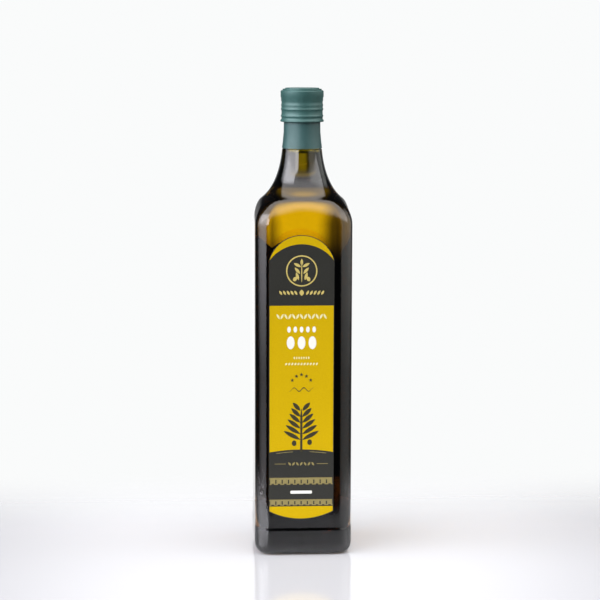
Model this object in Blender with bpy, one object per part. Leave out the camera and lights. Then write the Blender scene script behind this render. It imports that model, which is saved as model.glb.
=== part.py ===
"""A one litre bottle of olive oil: square glass, round neck, screw cap, neck sleeve and two labels.

Metres, +Z up, the front label facing -Y, and the origin under the middle of the base.
"""

import math
from typing import NamedTuple

import bmesh
import bpy
from mathutils import Matrix, Vector
from mathutils.geometry import interpolate_bezier

# Pieces that touch keep this gap.
GAP = 0.0003

# Glass body: a square with round corners that stands on a flat ring.
BODY_HALF = 0.0350
CORNER_RADIUS = 0.0120
HEEL_PROUD = 0.0003
HEEL_HEIGHT = 0.0079
HEEL_BAND_TOP = 0.0180
PANEL_BOTTOM = 0.0210
STAND_OUTER = 0.0290
STAND_INNER = 0.0245
STAND_INNER_CORNER = 0.0030
PUNT_HALF = 0.0120
PUNT_CORNER = 0.0090
PUNT_EDGE_HEIGHT = 0.0021
PUNT_HEIGHT = 0.0026
WALL = 0.0030
FLOOR_THICKNESS = 0.0080
FLOOR_FILLET = 0.0100

# Shoulder and neck: one convex and one hollow curve that meet at the break.
SHOULDER_BOTTOM = 0.2420
SHOULDER_HANDLE = 0.0075
BREAK_HALF = 0.0290
BREAK_Z = 0.2588
BREAK_LEAN = math.radians(53.7)
BREAK_HANDLE_BELOW = 0.0042
BREAK_HANDLE_ABOVE = 0.0124
NECK_RADIUS = 0.0145
NECK_LEAN = math.radians(4.0)
NECK_HANDLE = 0.0101
ROUNDING_BOTTOM = 0.2400
ROUNDING_TOP = 0.2750

# Finish of the neck, which the sleeve and the cap hide.
SLEEVE_BOTTOM = 0.2940
SLEEVE_FLARE_TOP = 0.2990
SLEEVE_WAIST = 0.3055
CAP_BOTTOM = 0.3130
SLEEVE_TOP = CAP_BOTTOM - GAP
SLEEVE_RADII = (0.0145, 0.0139, 0.0133, 0.0132)
SLEEVE_THICKNESS = 0.0004
SLEEVE_CLEARANCE = 0.0004
FINISH_RADIUS = 0.0136
FINISH_BOTTOM = 0.3142
BORE_RADIUS = 0.0100
BORE_BOTTOM = 0.3015
MOUTH_Z = 0.3343
MOUTH_ROUNDING = 0.0008

# Cap: a rolled metal shell with beads, a flared lip and a raised top disc.
CAP_TOP = 0.3374
CAP_SHOULDER_Z = 0.3356
CAP_RADIUS = 0.01555
CAP_EDGE = 0.0006
BAND_BOTTOM = 0.3310
GROOVE_RADIUS = 0.0149
BEAD_RADIUS = 0.01535
BEAD_GROOVE_STEP = 0.0010
BEAD_HEIGHTS = (0.3221, 0.3172)
TOP_GROOVE = (0.3261, 0.3276)
THREAD_EDGE = (0.01520, 0.3252)
LIP_RADIUS = 0.01575
LIP_TOP = 0.3143
DISC_RADIUS = 0.0124
CAP_BORE = 0.0141
CAP_SHELL = 0.0008

# Oil: its level stands in the neck, just below the sleeve.
OIL_LEVEL = 0.2905

# Labels: one sheet each, with the printed fields standing a little proud. The front one sits off the middle.
LABEL_SHIFT = -0.0021
LABEL_HALF = 0.0234
LABEL_THICKNESS = 0.0003
PRINT_RELIEF = 0.0002
PRINT_SINK = 0.0001
PRINT_MARGIN = 0.0003
ARCH_SPRING = 0.2163
ARCH_TOP = 0.2342
FIELD_ARCH_TOP = 0.2277
FOOT_BOTTOM = 0.0274
FOOT_CORNER = 0.0330
FOOT_TOP = 0.0369
LOW_BAND = (0.0376, 0.0420)
HIGH_BAND = (0.0530, 0.0581)
PANEL_SIDE_Z = 0.0769
PANEL_MIDDLE_Z = 0.0789
PANEL_TOP = 0.1836
RING_Z = 0.2086
RING_RADIUS = 0.0112
RING_WIDTH = 0.0010
RULE_Z = (0.1938, 0.1948)
RULE_HALF = 0.0130
VOLUME_BAR_Z = (0.0460, 0.0488)
VOLUME_BAR_HALF = 0.0080
BACK_PANEL_Z = (0.0700, 0.1900)

# Steps of the round forms.
ARC_STEPS = 8
QUARTER_STEPS = ARC_STEPS + 2
SHOULDER_STEPS = 6
NECK_STEPS = 9
HEEL_STEPS = 4
TURN_STEPS = 40
ARCH_STEPS = 20
SMOOTH_ANGLE = math.radians(40.0)


class Section(NamedTuple):
    """A level ring: half its width, its corner radius, its height, and from 0 for square to 1 for round."""

    half: float
    corner: float
    z: float
    rounding: float


def clear_scene():
    """Empties the scene of every object that it starts with."""
    for old in list(bpy.data.objects):
        bpy.data.objects.remove(old, do_unlink=True)


def make_material(name, colour, roughness, metallic=0.0, transmission=0.0):
    """Makes a Principled material of one colour."""
    material = bpy.data.materials.new(name)
    material.use_nodes = True
    shader = material.node_tree.nodes["Principled BSDF"]
    shader.inputs["Base Color"].default_value = (*colour, 1.0)
    shader.inputs["Roughness"].default_value = roughness
    shader.inputs["Metallic"].default_value = metallic
    shader.inputs["Transmission Weight"].default_value = transmission
    return material


def make_object(name, mesh_editor, material):
    """Turns an edited mesh into a named object with smooth round faces."""
    bmesh.ops.recalc_face_normals(mesh_editor, faces=mesh_editor.faces)
    mesh = bpy.data.meshes.new(name)
    mesh_editor.to_mesh(mesh)
    mesh_editor.free()
    mesh.materials.append(material)
    mesh.shade_smooth()
    mesh.set_sharp_from_angle(angle=SMOOTH_ANGLE)
    made = bpy.data.objects.new(name, mesh)
    bpy.context.scene.collection.objects.link(made)
    return made


def smooth_step(value, low, high):
    """Rises smoothly from 0 at low to 1 at high."""
    share = min(max((value - low) / (high - low), 0.0), 1.0)
    return share * share * (3.0 - 2.0 * share)


def curve_points(start, start_handle, end_handle, end, steps):
    """Points along one Bezier stretch, as pairs of half width and height."""
    knots = [Vector((point[0], point[1], 0.0)) for point in (start, start_handle, end_handle, end)]
    return [(point.x, point.y) for point in interpolate_bezier(*knots, steps + 1)]


def shoulder_profile():
    """The outer side from the straight body, over the shoulder, to the top of the bare neck."""
    lean = Vector((math.sin(BREAK_LEAN), -math.cos(BREAK_LEAN)))
    neck_lean = Vector((math.sin(NECK_LEAN), -math.cos(NECK_LEAN)))
    bottom = Vector((BODY_HALF, SHOULDER_BOTTOM))
    middle = Vector((BREAK_HALF, BREAK_Z))
    top = Vector((NECK_RADIUS, SLEEVE_BOTTOM - GAP - SLEEVE_THICKNESS))
    upright = Vector((0.0, SHOULDER_HANDLE))
    below = lean * BREAK_HANDLE_BELOW
    above = lean * BREAK_HANDLE_ABOVE
    convex = curve_points(bottom, bottom + upright, middle + below, middle, SHOULDER_STEPS)
    hollow = curve_points(middle, middle - above, top + neck_lean * NECK_HANDLE, top, NECK_STEPS)
    return convex + hollow[1:]


def offset_profile(points, distance):
    """Moves an outer profile inwards by a distance, square to its own slope."""
    moved = []
    for index, point in enumerate(points):
        before = points[max(index - 1, 0)]
        after = points[min(index + 1, len(points) - 1)]
        along = Vector((after[0] - before[0], after[1] - before[1])).normalized()
        moved.append((point[0] - along.y * distance, point[1] + along.x * distance))
    return moved


def side_sections(points, corner):
    """Rings for a profile of the body's side, which turn round towards the neck."""
    return [Section(half, corner, z, smooth_step(z, ROUNDING_BOTTOM, ROUNDING_TOP)) for half, z in points]


def quarter_arc(half, base_z, radius, steps):
    """A quarter circle from a flat base to an upright side, as pairs of half width and height."""
    points = []
    for step in range(steps + 1):
        turn = math.radians(90.0) * step / steps
        points.append((half - radius + radius * math.sin(turn), base_z + radius * (1.0 - math.cos(turn))))
    return points


def heel_sections():
    """The rounded heel from the standing ring to the proud band above it."""
    outer = BODY_HALF + HEEL_PROUD
    reach = outer - STAND_OUTER
    sections = []
    for step in range(1, HEEL_STEPS + 1):
        turn = math.radians(90.0) * step / HEEL_STEPS
        half = STAND_OUTER + reach * math.sin(turn)
        z = HEEL_HEIGHT * (1.0 - math.cos(turn))
        sections.append(Section(half, CORNER_RADIUS - (outer - half), z, 0.0))
    sections.append(Section(outer, CORNER_RADIUS, HEEL_BAND_TOP, 0.0))
    sections.append(Section(BODY_HALF, CORNER_RADIUS, PANEL_BOTTOM, 0.0))
    return sections


def ring_points(section):
    """The points of one ring, counter-clockwise from the middle of its +X side."""
    corner = min(section.corner, section.half)
    straight = section.half - corner
    points = []
    for quarter in range(4):
        turned = Matrix.Rotation(math.radians(90.0) * quarter, 2)
        for step in range(QUARTER_STEPS):
            turn = math.radians(90.0) * (step - 1) / ARC_STEPS
            square = Vector((section.half, 0.0))
            if step > 0:
                square = Vector((straight + corner * math.cos(turn), straight + corner * math.sin(turn)))
            turn = math.radians(90.0) * step / QUARTER_STEPS
            circle = section.half * Vector((math.cos(turn), math.sin(turn)))
            point = turned @ square.lerp(circle, section.rounding)
            points.append((point.x, point.y, section.z))
    return points


def join_rings(mesh_editor, lower, upper):
    """Joins two rings of as many points by a belt of faces."""
    for index in range(len(lower)):
        mesh_editor.faces.new((lower[index - 1], lower[index], upper[index], upper[index - 1]))


def close_end(mesh_editor, ring, pole_z):
    """Closes a ring with a fan of faces round a pole at the given height."""
    face = mesh_editor.faces.new(ring)
    fan = bmesh.ops.poke(mesh_editor, faces=[face])
    fan["verts"][0].co = (0.0, 0.0, pole_z)


def loft(name, sections, first_pole_z, last_pole_z, material):
    """Joins the rings in order and closes both ends with a pole."""
    mesh_editor = bmesh.new()
    rings = [[mesh_editor.verts.new(point) for point in ring_points(section)] for section in sections]
    for lower, upper in zip(rings, rings[1:], strict=False):
        join_rings(mesh_editor, lower, upper)
    close_end(mesh_editor, rings[0], first_pole_z)
    close_end(mesh_editor, rings[-1], last_pole_z)
    return make_object(name, mesh_editor, material)


def turn_profile(name, profile, material):
    """Turns a profile of radius and height about the upright axis. A closed profile makes a hollow ring."""
    mesh_editor = bmesh.new()
    points = [mesh_editor.verts.new((radius, 0.0, z)) for radius, z in profile]
    edges = [mesh_editor.edges.new(pair) for pair in zip(points, points[1:], strict=False)]
    if min(radius for radius, _ in profile) > 0.0:
        edges.append(mesh_editor.edges.new((points[-1], points[0])))
    bmesh.ops.spin(
        mesh_editor,
        geom=points + edges,
        axis=(0.0, 0.0, 1.0),
        cent=(0.0, 0.0, 0.0),
        angle=math.radians(360.0),
        steps=TURN_STEPS,
        use_merge=True,
    )
    bmesh.ops.remove_doubles(mesh_editor, verts=mesh_editor.verts, dist=GAP / 10.0)
    return make_object(name, mesh_editor, material)


def sleeve_profile(inset):
    """The sleeve's outer side from bottom to top, drawn in by an inset."""
    heights = (SLEEVE_BOTTOM, SLEEVE_FLARE_TOP, SLEEVE_WAIST, SLEEVE_TOP)
    return [(radius - inset, z) for radius, z in zip(SLEEVE_RADII, heights, strict=True)]


def finish_profile():
    """The glass under the sleeve and the cap, and the round lip of the mouth."""
    under_sleeve = sleeve_profile(SLEEVE_THICKNESS + SLEEVE_CLEARANCE)
    under_sleeve[0] = (under_sleeve[0][0], SLEEVE_BOTTOM - GAP)
    return under_sleeve + [
        (FINISH_RADIUS, FINISH_BOTTOM),
        (FINISH_RADIUS, MOUTH_Z - MOUTH_ROUNDING),
        (FINISH_RADIUS - MOUTH_ROUNDING, MOUTH_Z),
        (BORE_RADIUS + MOUTH_ROUNDING, MOUTH_Z),
        (BORE_RADIUS, MOUTH_Z - MOUTH_ROUNDING),
        (BORE_RADIUS, BORE_BOTTOM),
    ]


def inner_sections(gap):
    """The rings of the hollow from the shoulder down to the floor, drawn in by a gap."""
    inset = WALL + gap
    corner = CORNER_RADIUS - inset
    sections = side_sections(offset_profile(shoulder_profile(), inset), corner)[::-1]
    floor = quarter_arc(BODY_HALF - inset, FLOOR_THICKNESS + gap, FLOOR_FILLET, HEEL_STEPS)[::-1]
    sections += [Section(half, corner, z, 0.0) for half, z in floor]
    sections.append(Section(PUNT_HALF, PUNT_CORNER, PUNT_EDGE_HEIGHT + FLOOR_THICKNESS + gap, 0.0))
    return sections


def build_glass(material):
    """The bottle: one shell, open at its mouth, with a hollow under its base."""
    stand_corner = CORNER_RADIUS - (BODY_HALF + HEEL_PROUD - STAND_OUTER)
    sections = [
        Section(PUNT_HALF, PUNT_CORNER, PUNT_EDGE_HEIGHT, 0.0),
        Section(STAND_INNER, STAND_INNER_CORNER, 0.0, 0.0),
        Section(STAND_OUTER, stand_corner, 0.0, 0.0),
    ]
    sections += heel_sections()
    sections += side_sections(shoulder_profile(), CORNER_RADIUS)
    sections += [Section(radius, radius, z, 1.0) for radius, z in finish_profile()]
    sections += inner_sections(0.0)
    return loft("bottle_glass", sections, PUNT_HEIGHT, PUNT_HEIGHT + FLOOR_THICKNESS, material)


def build_oil(material):
    """The oil: it fills the hollow up to its level."""
    above = [section for section in inner_sections(GAP) if section.z >= OIL_LEVEL]
    below = [section for section in inner_sections(GAP) if section.z < OIL_LEVEL]
    share = (OIL_LEVEL - below[0].z) / (above[-1].z - below[0].z)
    level = Section(*(low + (high - low) * share for low, high in zip(below[0], above[-1], strict=True)))
    return loft("oil", [level, *below], OIL_LEVEL, PUNT_HEIGHT + FLOOR_THICKNESS + GAP, material)


def build_cap(material):
    """The cap: outer side from the top disc down to the lip, then up the inside."""
    disc = [
        (0.0, CAP_TOP),
        (DISC_RADIUS - CAP_EDGE, CAP_TOP),
        (DISC_RADIUS, CAP_TOP - CAP_EDGE),
        (DISC_RADIUS, CAP_SHOULDER_Z),
    ]
    band = [
        (CAP_RADIUS - CAP_EDGE, CAP_SHOULDER_Z),
        (CAP_RADIUS, CAP_SHOULDER_Z - CAP_EDGE),
        (CAP_RADIUS, BAND_BOTTOM),
        (GROOVE_RADIUS, TOP_GROOVE[1]),
        (GROOVE_RADIUS, TOP_GROOVE[0]),
        THREAD_EDGE,
    ]
    beads = []
    for middle in BEAD_HEIGHTS:
        beads.append((GROOVE_RADIUS, middle + 2.0 * BEAD_GROOVE_STEP))
        beads.append((BEAD_RADIUS, middle + 0.5 * BEAD_GROOVE_STEP))
        beads.append((BEAD_RADIUS, middle - 0.5 * BEAD_GROOVE_STEP))
    lip = [
        (BEAD_RADIUS, LIP_TOP + BEAD_GROOVE_STEP),
        (LIP_RADIUS, LIP_TOP),
        (LIP_RADIUS, CAP_BOTTOM),
    ]
    inside = [
        (CAP_BORE, CAP_BOTTOM),
        (CAP_BORE, CAP_SHOULDER_Z - CAP_SHELL),
        (DISC_RADIUS - CAP_SHELL, CAP_SHOULDER_Z - CAP_SHELL),
        (DISC_RADIUS - CAP_SHELL, CAP_TOP - CAP_SHELL),
        (0.0, CAP_TOP - CAP_SHELL),
    ]
    profile = disc + band + beads + lip + inside
    return turn_profile("cap", profile, material)


def build_sleeve(material):
    """The neck sleeve: the lower part of the closure, which stays on the bottle."""
    outer = sleeve_profile(0.0)
    inner = sleeve_profile(SLEEVE_THICKNESS)
    return turn_profile("neck_sleeve", outer + inner[::-1], material)


def arc_over(half, low_z, high_z, steps):
    """Points of a circle's arc over a chord, from its +X end to its -X end."""
    rise = high_z - low_z
    radius = (half * half + rise * rise) / (2.0 * rise)
    reach = math.asin(half / radius) if abs(rise) < half else math.radians(180.0) - math.asin(half / radius)
    points = []
    for step in range(steps + 1):
        turn = reach * (1.0 - 2.0 * step / steps)
        points.append((radius * math.sin(turn), low_z + rise - radius + radius * math.cos(turn)))
    return points


def label_outline(margin):
    """The label's outline, counter-clockwise as pairs of x and z, drawn in by a margin."""
    half = LABEL_HALF - margin
    top = arc_over(half, ARCH_SPRING, ARCH_TOP - margin, ARCH_STEPS)
    bottom = arc_over(half, FOOT_CORNER + margin, FOOT_BOTTOM + margin, ARCH_STEPS // 2)[::-1]
    return top + bottom


def add_plate(mesh_editor, outline, back, front):
    """Adds a flat plate with an outline in x and z, from its back to its front in y."""
    corners = [mesh_editor.verts.new((x, back, z)) for x, z in outline]
    face = mesh_editor.faces.new(corners)
    lifted = bmesh.ops.extrude_face_region(mesh_editor, geom=[face])
    moved = [item for item in lifted["geom"] if isinstance(item, bmesh.types.BMVert)]
    bmesh.ops.translate(mesh_editor, verts=moved, vec=(0.0, front - back, 0.0))


def rectangle(half, low_z, high_z):
    """A rectangle's outline about x = 0."""
    return [(-half, low_z), (half, low_z), (half, high_z), (-half, high_z)]


def crescent_outline():
    """The bright band between the label's arched top and the dark field below it."""
    half = LABEL_HALF - PRINT_MARGIN
    outer = arc_over(half, ARCH_SPRING, ARCH_TOP - PRINT_MARGIN, ARCH_STEPS)
    inner = arc_over(half, ARCH_SPRING, FIELD_ARCH_TOP, ARCH_STEPS)[::-1]
    return outer + inner[1:-1]


def panel_outline():
    """The large bright panel, whose lower edge follows a low hill."""
    half = LABEL_HALF - PRINT_MARGIN
    hill = arc_over(half, PANEL_SIDE_Z, PANEL_MIDDLE_Z, ARCH_STEPS // 2)[::-1]
    return hill + [(half, PANEL_TOP), (-half, PANEL_TOP)]


def foot_outline():
    """The bright field at the label's foot."""
    half = LABEL_HALF - PRINT_MARGIN
    curve = arc_over(half, FOOT_CORNER + PRINT_MARGIN, FOOT_BOTTOM + PRINT_MARGIN, ARCH_STEPS // 2)[::-1]
    return curve + [(half, FOOT_TOP), (-half, FOOT_TOP)]


def add_circle(mesh_editor, radius, y):
    """Adds the points of an upright circle about the label's ring centre."""
    points = []
    for step in range(TURN_STEPS):
        turn = math.radians(360.0) * step / TURN_STEPS
        place = (radius * math.cos(turn), y, RING_Z + radius * math.sin(turn))
        points.append(mesh_editor.verts.new(place))
    return points


def add_ring_line(mesh_editor, back, front):
    """Adds the thin ring line at the top of the label."""
    outer_back = add_circle(mesh_editor, RING_RADIUS, back)
    outer_front = add_circle(mesh_editor, RING_RADIUS, front)
    inner_back = add_circle(mesh_editor, RING_RADIUS - RING_WIDTH, back)
    inner_front = add_circle(mesh_editor, RING_RADIUS - RING_WIDTH, front)
    for first, second in (
        (outer_back, outer_front),
        (outer_front, inner_front),
        (inner_front, inner_back),
        (inner_back, outer_back),
    ):
        join_rings(mesh_editor, first, second)


def fuse(sheet, relief):
    """Fuses the printed relief to its sheet, and hides the relief's own object."""
    relief.hide_render = True
    relief.display_type = "WIRE"
    union = sheet.modifiers.new("print", "BOOLEAN")
    union.operation = "UNION"
    union.solver = "EXACT"
    union.object = relief


def build_label(name, fields, with_ring, place, material):
    """A label made on the -Y side and then put in its place: one sheet with its fields fused to it."""
    back = -BODY_HALF - GAP
    front = back - LABEL_THICKNESS
    sheet_editor = bmesh.new()
    add_plate(sheet_editor, label_outline(0.0), back, front)
    sheet = make_object(name, sheet_editor, material)
    relief_editor = bmesh.new()
    for outline in fields:
        add_plate(relief_editor, outline, front + PRINT_SINK, front - PRINT_RELIEF)
    if with_ring:
        add_ring_line(relief_editor, front + PRINT_SINK, front - PRINT_RELIEF)
    relief = make_object(name + "_relief", relief_editor, material)
    sheet.matrix_world = place
    relief.matrix_world = place
    fuse(sheet, relief)
    return sheet


def build_front_label(material):
    """The front label with its crescent, ring, rule, panel, bands, bar and foot."""
    band_half = LABEL_HALF - PRINT_MARGIN
    fields = [
        crescent_outline(),
        rectangle(RULE_HALF, *RULE_Z),
        panel_outline(),
        rectangle(band_half, *HIGH_BAND),
        rectangle(VOLUME_BAR_HALF, *VOLUME_BAR_Z),
        rectangle(band_half, *LOW_BAND),
        foot_outline(),
    ]
    place = Matrix.Translation((LABEL_SHIFT, 0.0, 0.0))
    return build_label("label_front", fields, True, place, material)


def build_back_label(material):
    """The back label, of the same outline, with a crescent and one plain panel."""
    fields = [crescent_outline(), rectangle(LABEL_HALF - 0.003, *BACK_PANEL_Z)]
    half_turn = Matrix.Rotation(math.radians(180.0), 4, "Z")
    return build_label("label_back", fields, False, half_turn, material)


def main():
    """Builds every piece of the bottle."""
    clear_scene()
    build_glass(make_material("olive_glass", (0.10, 0.09, 0.02), 0.05, transmission=1.0))
    build_oil(make_material("oil", (0.80, 0.50, 0.02), 0.05, transmission=1.0))
    build_cap(make_material("cap_green", (0.05, 0.15, 0.13), 0.35, metallic=0.6))
    build_sleeve(make_material("sleeve_green", (0.04, 0.11, 0.11), 0.40, metallic=0.6))
    build_front_label(make_material("label_print", (0.03, 0.03, 0.03), 0.55))
    build_back_label(make_material("label_dark", (0.03, 0.03, 0.03), 0.55))


main()
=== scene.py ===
import logging
import math
from collections.abc import Callable, Sequence
from dataclasses import dataclass, field
from enum import Enum

import bmesh
import bpy
from mathutils import Matrix, Vector
from mathutils.geometry import interpolate_bezier


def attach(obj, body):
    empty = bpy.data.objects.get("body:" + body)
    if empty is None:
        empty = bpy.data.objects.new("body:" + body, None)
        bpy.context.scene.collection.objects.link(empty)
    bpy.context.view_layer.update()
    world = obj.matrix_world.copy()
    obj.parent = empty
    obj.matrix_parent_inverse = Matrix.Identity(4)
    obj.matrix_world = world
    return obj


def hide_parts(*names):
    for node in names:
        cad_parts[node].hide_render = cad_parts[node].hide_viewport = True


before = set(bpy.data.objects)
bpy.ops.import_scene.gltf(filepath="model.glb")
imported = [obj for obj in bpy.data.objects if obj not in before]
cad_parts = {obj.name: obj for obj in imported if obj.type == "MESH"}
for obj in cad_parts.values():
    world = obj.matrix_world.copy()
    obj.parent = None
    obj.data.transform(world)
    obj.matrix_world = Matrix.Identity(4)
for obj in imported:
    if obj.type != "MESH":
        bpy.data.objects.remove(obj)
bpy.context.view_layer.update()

LOG = logging.getLogger("olive_oil_bottle")
BODY = "root"
AIR_SIDE = "air_side"

SIDES = (-1.0, 1.0)
UPRIGHT = (math.pi / 2.0, 0.0, 0.0)  # turns a flat primitive so that it faces along Y
SQUARE = 9.0  # corner of a ring that keeps the corners it was started with
NEAR = 1e-5  # places closer than this count as the same
HAIR = 1e-6  # points closer than this become one
AHEAD = 0.02  # a panel of the room lights only what lies in front of it

Colour = tuple[float, float, float]
Profile = tuple[tuple[float, ...], ...]
Curve = Callable[[float], float]
Test = Callable[..., bool]
Piece = bpy.types.Object
Socket = bpy.types.NodeSocket
Feed = Socket | Vector | tuple[float, ...] | float


# Modelling.


@dataclass(frozen=True)
class Ring:
    """One level ring of a drawn up form.

    Args:
        half: half of its width across the flats.
        height: its height above the table.
        corner: its diagonal reach divided by its half width, 1 for a circle.
    """

    half: float
    height: float
    corner: float = 1.0


def deselect() -> None:
    """Leaves no object selected."""
    if bpy.context.object and bpy.context.object.mode != "OBJECT":
        bpy.ops.object.mode_set(mode="OBJECT")
    bpy.ops.object.select_all(action="DESELECT")


def square_diagonal(half: float, corner: float) -> float:
    """Diagonal reach of a square with round corners, divided by its half width."""
    return ((half - corner) * math.sqrt(2.0) + corner) / half


def smooth_step(value: float, low: float, high: float) -> float:
    """Rises smoothly from 0 at low to 1 at high."""
    share = min(max((value - low) / (high - low), 0.0), 1.0)
    return share * share * (3.0 - 2.0 * share)


def curve_points(knots: Sequence[Vector], steps: int) -> list[Vector]:
    """Points along one Bezier stretch.

    Args:
        knots: start, its handle, the end's handle and the end, as radius and height.
        steps: number of straight pieces.

    Returns:
        steps + 1 points of radius and height.
    """
    found = interpolate_bezier(*[knot.to_3d() for knot in knots], steps + 1)
    return [point.to_2d() for point in found]


def offset_points(points: Sequence[Vector], distance: float) -> list[Vector]:
    """Moves a side profile inwards, square to its own slope.

    Args:
        points: the profile from bottom to top, as half width and height.
        distance: how far it moves inwards.

    Returns:
        The moved profile.
    """
    moved = []
    for index, point in enumerate(points):
        along = points[min(index + 1, len(points) - 1)] - points[max(index - 1, 0)]
        along.normalize()
        moved.append(point + Vector((-along.y, along.x)) * distance)
    return moved


def cut_side(points: Sequence[Vector], height: float) -> list[Vector]:
    """Adds a point to a side profile at a height.

    Args:
        points: the profile from bottom to top, as half width and height.
        height: the height of the added point.

    Returns:
        The profile with the point in its place.
    """
    made = list(points)
    for index, (low, high) in enumerate(zip(points, points[1:], strict=False)):
        if low.y < height < high.y:
            made.insert(index + 1, low.lerp(high, (height - low.y) / (high.y - low.y)))
    return made


class Solid:
    """A solid drawn up ring by ring from one flat face in edit mode."""

    def __init__(self, name: str) -> None:
        """Names the solid."""
        self.name = name
        self.made: Piece | None = None

    def adopt(self) -> None:
        """Takes the new primitive, applies its place and edits it with all selected."""
        self.made = bpy.context.object
        self.made.name = self.made.data.name = self.name
        bpy.ops.object.transform_apply(location=True, rotation=True, scale=True)
        bpy.ops.object.mode_set(mode="EDIT")
        bpy.ops.mesh.select_all(action="SELECT")

    def start_square(self, half: float, corner: float, height: float, steps: int, cuts: int) -> None:
        """Starts from a square face with round corners.

        Args:
            half: half of its width.
            corner: radius of its corners.
            height: its height.
            steps: straight pieces in each corner.
            cuts: cuts across each straight side.
        """
        deselect()
        bpy.ops.mesh.primitive_plane_add(size=2.0 * half, location=(0.0, 0.0, height))
        self.adopt()
        bpy.ops.mesh.bevel(offset=corner, segments=steps, affect="VERTICES")
        straight = 2.0 * (half - corner)
        self.select("edges", lambda edge: edge.calc_length() > 0.6 * straight)
        bpy.ops.mesh.subdivide(number_cuts=cuts)
        bpy.ops.mesh.select_all(action="SELECT")

    def start_circle(self, radius: float, height: float, points: int, filled: bool = True) -> None:
        """Starts from a round face.

        Args:
            radius: its radius.
            height: its height.
            points: number of its points.
            filled: whether it is a face, or else a bare loop.
        """
        deselect()
        fill = "NGON" if filled else "NOTHING"
        bpy.ops.mesh.primitive_circle_add(
            vertices=points, radius=radius, fill_type=fill, location=(0.0, 0.0, height)
        )
        self.adopt()

    def edit_mesh(self) -> bmesh.types.BMesh:
        """The mesh that is being edited."""
        return bmesh.from_edit_mesh(self.made.data)

    def flush(self, mesh: bmesh.types.BMesh) -> None:
        """Carries a selection made in code over to the edit mesh."""
        mesh.select_flush_mode()
        bmesh.update_edit_mesh(self.made.data)

    def chosen(self) -> list[Vector]:
        """Places of the selected points."""
        return [point.co.copy() for point in self.edit_mesh().verts if point.select]

    def select(self, kind: str, test: Test) -> None:
        """Selects only what passes a test.

        Args:
            kind: faces, edges or verts.
            test: says of one of them whether it is wanted.
        """
        mesh = self.edit_mesh()
        bpy.ops.mesh.select_all(action="DESELECT")
        for item in {"faces": mesh.faces, "edges": mesh.edges, "verts": mesh.verts}[kind]:
            if test(item):
                item.select_set(True)
        self.flush(mesh)

    def draw(self, rings: Sequence[Ring], loop: bool = False) -> None:
        """Extrudes the selected face or loop through a row of rings.

        Args:
            rings: the rings in the order in which they are drawn.
            loop: whether a bare loop is drawn and not a face.
        """
        height = self.chosen()[0].z
        extrude = bpy.ops.mesh.extrude_edges_move if loop else bpy.ops.mesh.extrude_region_move
        for ring in rings:
            extrude(TRANSFORM_OT_translate={"value": (0.0, 0.0, ring.height - height)})
            height = ring.height
            self.shape_ring(ring)

    def shape_ring(self, ring: Ring) -> None:
        """Rounds and sizes the selected ring.

        Args:
            ring: the wanted half width and diagonal.
        """
        points = self.chosen()
        half = max(point.x for point in points)
        reaches = [math.hypot(point.x, point.y) for point in points]
        diagonal, mean = max(reaches), sum(reaches) / len(reaches)
        excess = diagonal - ring.corner * half
        if excess > HAIR:
            share = excess / (excess + mean * (ring.corner - 1.0))
            bpy.ops.transform.tosphere(value=min(share, 1.0))
            half = max(point.x for point in self.chosen())
        factor = ring.half / half
        bpy.ops.transform.resize(value=(factor, factor, 1.0))

    def round_foot(self, height: float, radius: float, steps: int, stretch: float) -> None:
        """Rounds the edge of the lowest face and stretches the rounding upwards.

        Args:
            height: height of the lowest face, from which it is stretched.
            radius: how far the rounding reaches inwards.
            steps: straight pieces in the rounding.
            stretch: its height divided by its reach.
        """
        self.select("edges", lambda edge: max(point.co.z for point in edge.verts) < height + NEAR)
        bpy.ops.mesh.bevel(offset=radius, segments=steps, affect="EDGES")
        bpy.ops.mesh.select_all(action="SELECT")
        bpy.ops.transform.resize(value=(1.0, 1.0, stretch), center_override=(0.0, 0.0, height))

    def select_level(self, height: float, corners: int = 3) -> None:
        """Selects the faces at a height that have at least this many corners.

        Args:
            height: height of their middles.
            corners: the least number of corners that they have.
        """
        self.select(
            "faces",
            lambda face: abs(face.calc_center_median().z - height) < NEAR and len(face.verts) >= corners,
        )

    def select_top(self) -> None:
        """Selects the highest face."""
        self.select_level(max(point.co.z for point in self.edit_mesh().verts))

    def raise_floor(self, floor: float, rings: Sequence[Ring], crown: float) -> None:
        """Pushes the middle of the lowest face up, as a punt does.

        Args:
            floor: height of the face that is pushed.
            rings: the rings of the push.
            crown: height of its middle point.
        """
        self.select_level(floor)
        self.draw(rings)
        bpy.ops.mesh.poke()
        last = rings[-1].height
        self.select("verts", lambda point: abs(point.co.z - last) < NEAR and point.co.xy.length < 1e-4)
        bpy.ops.transform.translate(value=(0.0, 0.0, crown - last))

    def close(self, smooth_angle: float, merge: float = HAIR) -> Piece:
        """Merges doubles, turns the faces outwards and smooths the round ones.

        Args:
            smooth_angle: faces that meet under a smaller angle, in degrees, look smooth.
            merge: points closer than this become one.

        Returns:
            The finished object.
        """
        bpy.ops.mesh.select_all(action="SELECT")
        bpy.ops.mesh.remove_doubles(threshold=merge)
        bpy.ops.mesh.normals_make_consistent(inside=False)
        bpy.ops.object.mode_set(mode="OBJECT")
        bpy.ops.object.shade_smooth_by_angle(angle=math.radians(smooth_angle))
        return self.made

    def mark_air(self, test: Callable[[Vector, Vector], bool]) -> None:
        """Marks the faces that meet the air, and leaves the mark of the others as it is.

        Args:
            test: says of a face's middle and normal whether it meets the air.
        """
        bpy.ops.object.mode_set(mode="OBJECT")
        mesh = self.made.data
        marks = mesh.attributes.get(AIR_SIDE) or mesh.attributes.new(AIR_SIDE, "FLOAT", "FACE")
        for face in mesh.polygons:
            if test(face.center, face.normal):
                marks.data[face.index].value = 1.0


# Finishes.


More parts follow.
